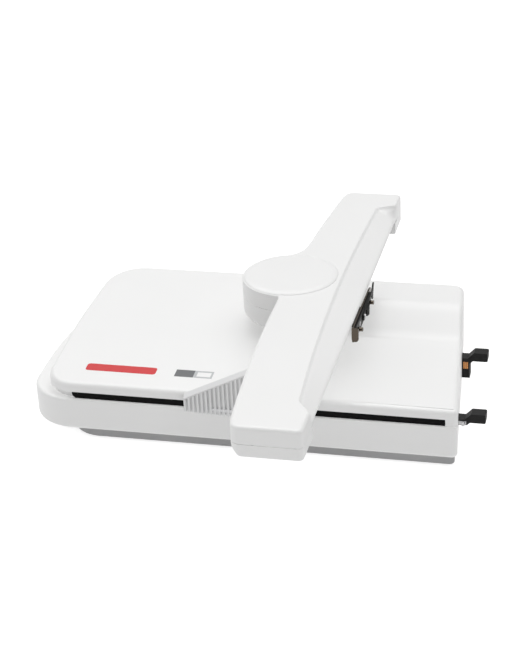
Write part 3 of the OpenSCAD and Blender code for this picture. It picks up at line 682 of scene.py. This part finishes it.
def build_right_cover():
    """Rows across the cover from the split to the right side, so that the ramp stays smooth."""
    corner = SPLIT_CORNER
    front_corner, back_corner = 5, 12
    # rows lie close together over the ramp
    side_ys = np.concatenate([np.linspace(-90, 36, 10), np.linspace(40, 94, 37), np.linspace(98, 122, 5)])
    mid = (SPLIT_X + RIGHT_X) / 2
    right = [(x, FRONT_Y) for x in (mid, mid + 30, mid + 55, SLOT_RIGHT - SLOT_JUMP, SLOT_RIGHT + SLOT_JUMP)]
    right += arc(RIGHT_X - front_corner, FRONT_Y + front_corner, front_corner, -90, -6, 8)
    right += [(right_x(y), y) for y in side_ys]
    right += arc(right_x(BACK_Y) - back_corner + 1, BACK_Y - back_corner, back_corner, 5, 90, 8)
    right += [(x, BACK_Y) for x in (mid + 30, mid)]
    left = [(x, FRONT_Y) for x in (mid, mid - 30, mid - 50, mid - 65, SPLIT_X + 8)]
    left += arc(SPLIT_X + corner, FRONT_Y + corner, corner, 270, 180, 8)
    left += [(SPLIT_X, y) for y in side_ys]
    left += arc(SPLIT_X + corner, BACK_Y - corner, corner, 180, 90, 8)
    left += [(x, BACK_Y) for x in (mid - 30, mid)]
    left_n, right_n = side_normals(left, right)

    def rim(p, n):
        """Points from the skirt up the wall and over the rounded edge, at one outline point."""
        x, y = p
        low = SLOT_HIGH if in_slot(x, y) else SLOT_LOW + COVER_GAP
        points = [
            (x + n[0] * SKIRT_INSET, y + n[1] * SKIRT_INSET, skirt_z(x, y)),
            (x + n[0] * SKIRT_INSET, y + n[1] * SKIRT_INSET, low + LIP_BACK),
            (x + n[0] * LIP_R, y + n[1] * LIP_R, low),
            (x, y, low + LIP_R),
        ]
        for inset, drop in fillet(cover_edge_r(x - SPLIT_X), EDGE_STEPS):
            px, py = x + n[0] * inset, y + n[1] * inset
            points.append((px, py, step_z(py) - drop))
        return points

    stations = []
    for pl, nl, pr, nr in zip(left, left_n, right, right_n):
        a, b = rim(pl, nl), rim(pr, nr)
        stations.append(row_with_middle(a, b[::-1], step_z((a[-1][1] + b[-1][1]) / 2)))
    obj = station_mesh("right_cover_skin", stations, len(a), front_rows=14, back_rows=11)
    solidify(obj, COVER_WALL)
    shade(obj)
    finish_piece(obj, "housing", "white_shell", "right_cover")


def build_seals():
    """Two black lips that close the front slot, slanted at the left end."""
    low_y, high_y = FRONT_Y + 1.3, FRONT_Y + 3.5
    gap, end_gap, slant, lip_round = 0.1, 0.4, 3.0, 0.3
    low_z, high_z = SLOT_LOW + gap, SLOT_HIGH - gap
    mid_z = (low_z + high_z) / 2
    start, end = SLOT_LEFT + end_gap, SLOT_RIGHT - end_gap
    upper = [(start, mid_z + gap), (end, mid_z + gap), (end, high_z), (start, high_z)]
    lower = [(start + slant, low_z), (end, low_z), (end, mid_z), (start, mid_z)]
    parts = [
        prism("upper_lip", upper, low_y, high_y, lip_round),
        prism("lower_lip", lower, low_y, high_y, lip_round),
    ]
    obj = join_meshes("slot_seals_skin", parts)
    shade(obj, 40)
    finish_piece(obj, "housing", "black_rubber", "slot_seals")


# ---- Arm ----


def arm_left_x(y):
    """The arm's left side."""
    return ARM_LEFT + ARM_SKEW * y + ARM_BOW * y * y


def ridge_x(y):
    """The ridge on the arm's top, where the right side starts to slope."""
    return RIDGE_X + RIDGE_SKEW * y + RIDGE_BOW * y * y


def hub_flare():
    """The flare's centre, and the angle on the round housing where it starts."""
    x = FLARE_RIGHT - FLARE_R
    y = HUB_Y + math.sqrt((HUB_R + FLARE_R) ** 2 - (HUB_X - x) ** 2)
    return x, y, math.degrees(math.atan2(y - HUB_Y, x - HUB_X))


def arm_rows(hub_r):
    """Matching points along the arm's left and right sides. The left has the round housing and its flare."""
    left_corner, right_corner = 10.0, 5.0
    front_edge, back_edge = arm_left_x(-ARM_HALF), arm_left_x(ARM_HALF)
    caps = [np.linspace(-250, -234, 5), np.linspace(-231, -214, 18), np.linspace(-211, -203, 5)]
    # rows lie close together where the end caps turn into the sloping side
    front_ys = np.concatenate([*caps, np.linspace(-195, -12, 17)])
    back_ys = np.concatenate([np.linspace(124, 195, 10), *[-ys[::-1] for ys in caps[::-1]]])
    flare_x, flare_y, join = hub_flare()
    hub_arc = arc(HUB_X, HUB_Y, hub_r, HUB_START, join, 40)
    flare_arc = arc(flare_x, flare_y, FLARE_R + HUB_R - hub_r, join - 180, 0, 14)
    front_mid, back_mid = (front_edge + ARM_RIGHT) / 2, (back_edge + ARM_RIGHT) / 2
    half = 10.0
    left = [(front_mid, -ARM_HALF), (front_mid - half, -ARM_HALF)]
    left += arc(front_edge + left_corner, -ARM_HALF + left_corner, left_corner, 270, 180, 8)
    left += [(arm_left_x(y), y) for y in front_ys]
    left += hub_arc + flare_arc[1:]
    left += [(arm_left_x(y), y) for y in back_ys]
    left += arc(back_edge + left_corner, ARM_HALF - left_corner, left_corner, 180, 90, 8)
    left += [(back_mid - half, ARM_HALF), (back_mid, ARM_HALF)]
    hub_ys = np.linspace(-7, flare_y + 2, len(hub_arc) + len(flare_arc) - 1)
    right = [(front_mid, -ARM_HALF), (front_mid + half, -ARM_HALF)]
    right += arc(ARM_RIGHT - right_corner, -ARM_HALF + right_corner, right_corner, -90, 0, 8)
    right += [(ARM_RIGHT, y) for y in (*front_ys, *hub_ys, *back_ys)]
    right += arc(ARM_RIGHT - right_corner, ARM_HALF - right_corner, right_corner, 0, 90, 8)
    right += [(back_mid + half, ARM_HALF), (back_mid, ARM_HALF)]
    left_n, right_n = side_normals(left, right)
    return left, left_n, right, right_n


def cap_share(y, t):
    """1 on the end caps, 0 along the sloped side. t runs from the ridge (0) to the lip (1)."""
    if y > 0:
        start, end = 224 - 20 * t, 232 + 8 * t
    else:
        start, end = 206 + 8 * t, 234 - 4 * t
    return smooth((abs(y) - start) / (end - start))


def build_upper_arm():
    """The top and its left wall, the right side with a slope between two end caps, and half the housing."""
    left, left_n, right, right_n = arm_rows(HUB_R)
    split = ARM_SPLIT + SEAM
    edge_r, hub_edge_r = 3.4, 1.0

    def left_edge_r(y):
        """Soft along the arm and the flare, tight round the housing under the disc."""
        near = 1 - smooth((abs(y - HUB_Y + 6) - HUB_R + 9) / 7)
        return edge_r - (edge_r - hub_edge_r) * near

    def left_side(p, n):
        """The left wall, from the seam up and over the top's edge."""
        x, y = p
        points = [(x + n[0] * SEAM_R, y + n[1] * SEAM_R, split)]
        for z in np.linspace(split + SEAM_R, ARM_TOP - edge_r - 0.4, 8):
            points.append((x, y, z))
        for inset, drop in fillet(left_edge_r(y), EDGE_STEPS):
            points.append((x + n[0] * inset, y + n[1] * inset, ARM_TOP - drop))
        return points

    def cap_side(p, n):
        """Full wall of an end cap, from the top's edge down."""
        x, y = p
        points = []
        for inset, drop in reversed(list(fillet(edge_r, EDGE_STEPS))):
            points.append((x + n[0] * inset, y + n[1] * inset, ARM_TOP - drop))
        for z in np.linspace(ARM_TOP - edge_r, split + SEAM_R, 8):
            points.append((x, y, z))
        points.append((x + n[0] * SEAM_R, y + n[1] * SEAM_R, split))
        return points

    def scoop_side(y, count):
        """A small step at the ridge, the sloping side and the lip, from the ridge down."""
        top = ridge_x(y)
        # the step as (across, drop) from the ridge
        step = [(-1.4, 0), (-0.9, 0.2), (-0.4, 0.7), (1.0, 2.2), (1.5, 2.6), (2.4, 2.9)]
        slope = [(top + across, ARM_TOP - drop) for across, drop in step]
        lip = [(ARM_RIGHT - 2.2, LIP_Z + 1.2), (ARM_RIGHT - 0.9, LIP_Z + 0.3), (ARM_RIGHT, LIP_Z - 0.9)]
        lip.append((ARM_RIGHT, OPEN_TOP))
        between = count - len(slope) - len(lip)
        (x0, z0), (x1, z1) = slope[-1], lip[0]
        for k in range(1, between + 1):
            t = k / (between + 1)
            slope.append((x0 + (x1 - x0) * t, z0 + (z1 - z0) * t))
        return [(x, y, z) for x, z in slope + lip]

    stations = []
    for pl, nl, pr, nr in zip(left, left_n, right, right_n):
        full = cap_side(pr, nr)
        scoop = scoop_side(pr[1], len(full))
        side = []
        for low, high in zip(scoop, full):
            share = cap_share(pr[1], max(0.0, (low[0] - RIDGE_X) / (ARM_RIGHT - RIDGE_X)))
            side.append(tuple(u + (v - u) * share for u, v in zip(low, high)))
        stations.append(row_with_middle(left_side(pl, nl), side, ARM_TOP))
    obj = station_mesh("arm_upper_skin", stations, len(full), front_rows=11, back_rows=11)
    solidify(obj, ARM_WALL)
    shade(obj, 40)
    finish_piece(obj, "arm_carriage", "white_shell", "arm_upper_shell")


def build_lower_arm():
    """Floor and low walls: a wide round along the left, tight edges elsewhere, open between the end caps."""
    left, left_n, right, right_n = arm_rows(HUB_R - 0.4)
    split = ARM_SPLIT - SEAM
    scoop_y = ARM_HALF - CAP_LEN
    small_r, large_r = 1.6, 10.0

    def wall_down(p, n, radius):
        """A wall from the seam down and round the bottom edge."""
        x, y = p
        points = [(x + n[0] * SEAM_R, y + n[1] * SEAM_R, split), (x, y, split - SEAM_R)]
        for inset, drop in fillet(radius, EDGE_STEPS):
            points.append((x + n[0] * inset, y + n[1] * inset, ARM_LOW + drop))
        return points

    def radius_at(n):
        """The wide round belongs to the left side, and dies away round the corners."""
        return small_r + (large_r - small_r) * smooth(n[0])

    def open_edge(y, count):
        """Right edge of the floor under the opening, from the floor's top edge down and in."""
        x, r = FLOOR_RIGHT, 0.3
        points = [(x - 4, ARM_LOW + FLOOR_T), (x - r, ARM_LOW + FLOOR_T), (x, ARM_LOW + FLOOR_T - r)]
        points += [(x, ARM_LOW + r), (x - r, ARM_LOW)]
        for k in range(count - len(points)):
            points.append((x - 1.5 - k, ARM_LOW))
        return [(px, y, z) for px, z in points]

    stations = []
    for pl, nl, pr, nr in zip(left, left_n, right, right_n):
        a = wall_down(pl, nl, radius_at(nl))
        b = wall_down(pr, nr, small_r)
        if abs(pr[1]) < scoop_y:
            b = open_edge(pr[1], len(b))
        stations.append(row_with_middle(a, b[::-1], ARM_LOW))
    obj = station_mesh("arm_lower_skin", stations, len(a), front_rows=11, back_rows=11)
    solidify(obj, ARM_WALL)
    shade(obj, 40)
    finish_piece(obj, "arm_carriage", "white_shell", "arm_lower_shell")


def build_hub_cup():
    """The round housing's lower half: a pot whose wall stops inside the arm."""
    split = ARM_SPLIT - SEAM
    bottom_r = 9.0
    floor_z = ARM_LOW + 0.4
    profile = [(POLE_R, HUB_LOW), (HUB_R - bottom_r - 4, HUB_LOW)]
    for inset, drop in reversed(list(fillet(bottom_r, 8))):
        profile.append((HUB_R - inset, HUB_LOW + drop))
    profile += [(HUB_R, floor_z), (HUB_R, split - SEAM_R), (HUB_R - SEAM_R, split)]
    _, _, join = hub_flare()

    def keep(x, y, z):
        """All of the floor and its round, and the part of the wall that stands outside the arm."""
        angle = math.degrees(math.atan2(y - HUB_Y, x - HUB_X)) % 360
        return z < floor_z or join - 1 < angle < HUB_START + 1

    obj = revolve("hub_cup_skin", profile, HUB_X, HUB_Y, 120, keep=keep)
    solidify(obj, ARM_WALL)
    shade(obj, 40)
    finish_piece(obj, "arm_carriage", "white_shell")


def build_hub_cap():
    """The raised disc on the round housing, very slightly crowned."""
    rim_r = HUB_R - 1.2
    top, low = cap_high.z, cap_low.z
    edge_w, edge_h = 8.0, 2.6
    crown = 0.3
    profile = [(POLE_R, low), (rim_r, low), (rim_r, top - crown - edge_h)]
    for inset, drop in list(fillet(1.0, 10))[1:]:
        profile.append((rim_r - inset * edge_w, top - crown - drop * edge_h))
    inner = rim_r - edge_w
    for k in range(1, 7):
        t = k / 6
        profile.append((max(POLE_R, inner * (1 - t)), top - crown + crown * (1 - (1 - t) ** 2)))
    obj = revolve("hub_cap_skin", profile, HUB_X, HUB_Y, 128)
    shade(obj, 50)
    finish_piece(obj, "arm_carriage", "white_shell", "hub_cap")


# ---- Ribbed foot ----


def build_foot():
    """A recessed plate with ribs, a leaning band along its top edge, and a block that enters the arm."""
    left, right = foot_low.x, foot_high.x
    front, over_back = foot_low.y, foot_high.y
    depth = 5.9
    back = front + depth
    top = foot_high.z - 0.1
    tip_z = RIM_Z + 1
    slope_x = 11.0
    band, lean = 3.4, 4.4
    plate_drop, plate_recess = 2, 2.6
    over_left, over_low, over_recess = slope_x + 5, RIM_Z + 3.4, 2
    pitch, rib_width, rib_round = 4.3, 2.2, 0.6
    tooth_x, tooth = left + 11.0, 1.6
    rise = 2.6

    def top_z(x):
        """Height of the top edge: a slope up from the tip, then level."""
        return min(top, tip_z + (top - tip_z) * (x - left) / (slope_x - left))

    def low_z(x):
        """Height of the lower edge, which rises a little to the left."""
        return foot_low.z + rise + rise * (right - x) / (right - left)

    plate_outline = [
        (left, low_z(left) - 1),
        (right, low_z(right) - 3),
        (right, top - plate_drop),
        (slope_x, top - plate_drop),
        (left, tip_z - plate_drop),
    ]
    over_outline = [(over_left, over_low), (right, over_low), (right, top), (over_left, top)]
    parts = [
        prism("plate", plate_outline, front + plate_recess, back, 0.5),
        prism("over", over_outline, front + over_recess, over_back, 0.8),
    ]
    # the band's section as (depth, drop), swept from the tip up the slope and along the top
    tuck, soft = band + 1.5, 0.4
    section = [(0, tuck), (0, band), (lean - soft, soft), (lean + soft, 0), (depth, 0), (depth, tuck)]
    ends = [(left, tip_z), (slope_x, top), (right, top)]
    rows = [[(x, front + y, z - drop) for y, drop in section] for x, z in ends]
    parts.append(ring_mesh("rim", rows, cap_first=True, cap_last=True))
    x = left
    while x + rib_width < right:
        high = min(top_z(x), top_z(x + rib_width)) - band
        low = low_z(x + rib_width)
        outline = [(x, low), (x + rib_width, low), (x + rib_width, high), (x, high)]
        if x > tooth_x:
            outline[1:1] = [(x + rib_width / 2, low - tooth)]
        parts.append(prism("rib", outline, front, back - 0.4, rib_round, segments=2))
        x += pitch
    obj = join_meshes("ribbed_foot_skin", parts)
    shade(obj, 40)
    finish_piece(obj, "arm_carriage", "grey_plastic", "ribbed_foot")


# ---- Carried-over CAD nodes ----


def soften(obj, width_mm):
    """Rounds a CAD node's sharp edges with modifiers, which leave its mesh alone."""
    weld = obj.modifiers.new("weld", "WELD")
    weld.merge_threshold = 0.00001
    bevel = obj.modifiers.new("round", "BEVEL")
    bevel.width = width_mm * MM
    bevel.segments = 2
    bevel.limit_method = "ANGLE"
    bevel.angle_limit = math.radians(40)
    bevel.harden_normals = True


def dress_nodes():
    """Every CAD node gets the material of its slot, and the ones that show get soft edges."""
    slot_of = {s["node"]: s["material_slot"] for s in frame["record"]["subparts"]}
    for name, obj in frame["nodes"].items():
        obj.data.materials.clear()
        obj.data.materials.append(MATERIAL_OF_SLOT[slot_of[name]])
    rounding = {
        "front_hook": 0.8,
        "rear_hook": 0.8,
        "coupler_block": 0.5,
        "coupler_plate": 0.3,
        "latch_lever": 0.2,
        "hoop_pins": 0.4,
        "y_slider": 0.4,
        "slot_tongue": 0.4,
        "machine_plug": 0.5,
        "front_hook_pin": 0.4,
    }
    for name, width in rounding.items():
        soften(frame["nodes"][name], width)


# ---- Stage, light and camera ----


def build_stage():
    """A plain white floor."""
    half = 6.0
    corners = [(-half, -half, 0), (half, -half, 0), (half, half, 0), (-half, half, 0)]
    floor_mesh = bpy.data.meshes.new("floor")
    floor_mesh.from_pydata(corners, [], [(0, 1, 2, 3)])
    floor = bpy.data.objects.new("floor", floor_mesh)
    bpy.context.scene.collection.objects.link(floor)
    mat, shader = material("floor_white", (0.92, 0.92, 0.92), 0.9)
    shader.inputs["Emission Color"].default_value = (1, 1, 1, 1)
    # the floor looks white to the camera, and sends less light up to the module
    path = mat.node_tree.nodes.new("ShaderNodeLightPath")
    glow = add_range(mat, path.outputs["Is Camera Ray"], 0.0, 0.24)
    mat.node_tree.links.new(glow, shader.inputs["Emission Strength"])
    shader.inputs["Specular IOR Level"].default_value = 0.1
    floor.data.materials.append(mat)


def sun_light(name, source, spread, strength, shadow=True):
    """Even light from a direction. spread is its width in degrees, so a wide one casts soft shadows."""
    light = bpy.data.lights.new(name, "SUN")
    light.angle = math.radians(spread)
    light.energy = strength
    light.use_shadow = shadow
    light.cycles.cast_shadow = shadow
    obj = bpy.data.objects.new(name, light)
    bpy.context.scene.collection.objects.link(obj)
    obj.rotation_euler = Vector(source).to_track_quat("Z", "Y").to_euler()


def build_light():
    """Even light from all round, a soft key from above and a shadowless fill."""
    world = bpy.data.worlds.new("studio")
    bpy.context.scene.world = world
    world.use_nodes = True
    background = world.node_tree.nodes["Background"]
    background.inputs["Color"].default_value = (1, 1, 1, 1)
    background.inputs["Strength"].default_value = 0.47
    sun_light("key", (0.25, 0.2, 1.0), 60, 0.6)
    sun_light("fill", (-0.25, 0.3, 1.0), 60, 1.5, shadow=False)


def build_camera():
    """Long lens from the front right, above, turned to the left and slightly rolled."""
    place = (0.3809, -1.4901, 0.8556)
    yaw, pitch, roll = math.radians(-14.7), math.radians(26.6), math.radians(3.0)
    ahead = Vector((math.sin(yaw) * math.cos(pitch), math.cos(yaw) * math.cos(pitch), -math.sin(pitch)))
    right = Vector((math.cos(yaw), -math.sin(yaw), 0))
    down = ahead.cross(right)
    right, down = (
        math.cos(roll) * right + math.sin(roll) * down,
        -math.sin(roll) * right + math.cos(roll) * down,
    )
    data = bpy.data.cameras.new("camera")
    data.sensor_fit = "VERTICAL"
    data.sensor_height = 36
    data.sensor_width = 36
    data.lens = 94.88
    data.clip_end = 50
    camera = bpy.data.objects.new("camera", data)
    bpy.context.scene.collection.objects.link(camera)
    turn = Matrix((right, -down, -ahead)).transposed().to_4x4()
    camera.matrix_world = Matrix.Translation(place) @ turn
    bpy.context.scene.camera = camera


build_tray()
build_lower_shell()
build_left_cover()
build_right_cover()
build_seals()
build_upper_arm()
build_lower_arm()
build_hub_cup()
build_hub_cap()
build_foot()
dress_nodes()
build_stage()
build_light()
build_camera()
bpy.context.scene.view_settings.view_transform = "Standard"
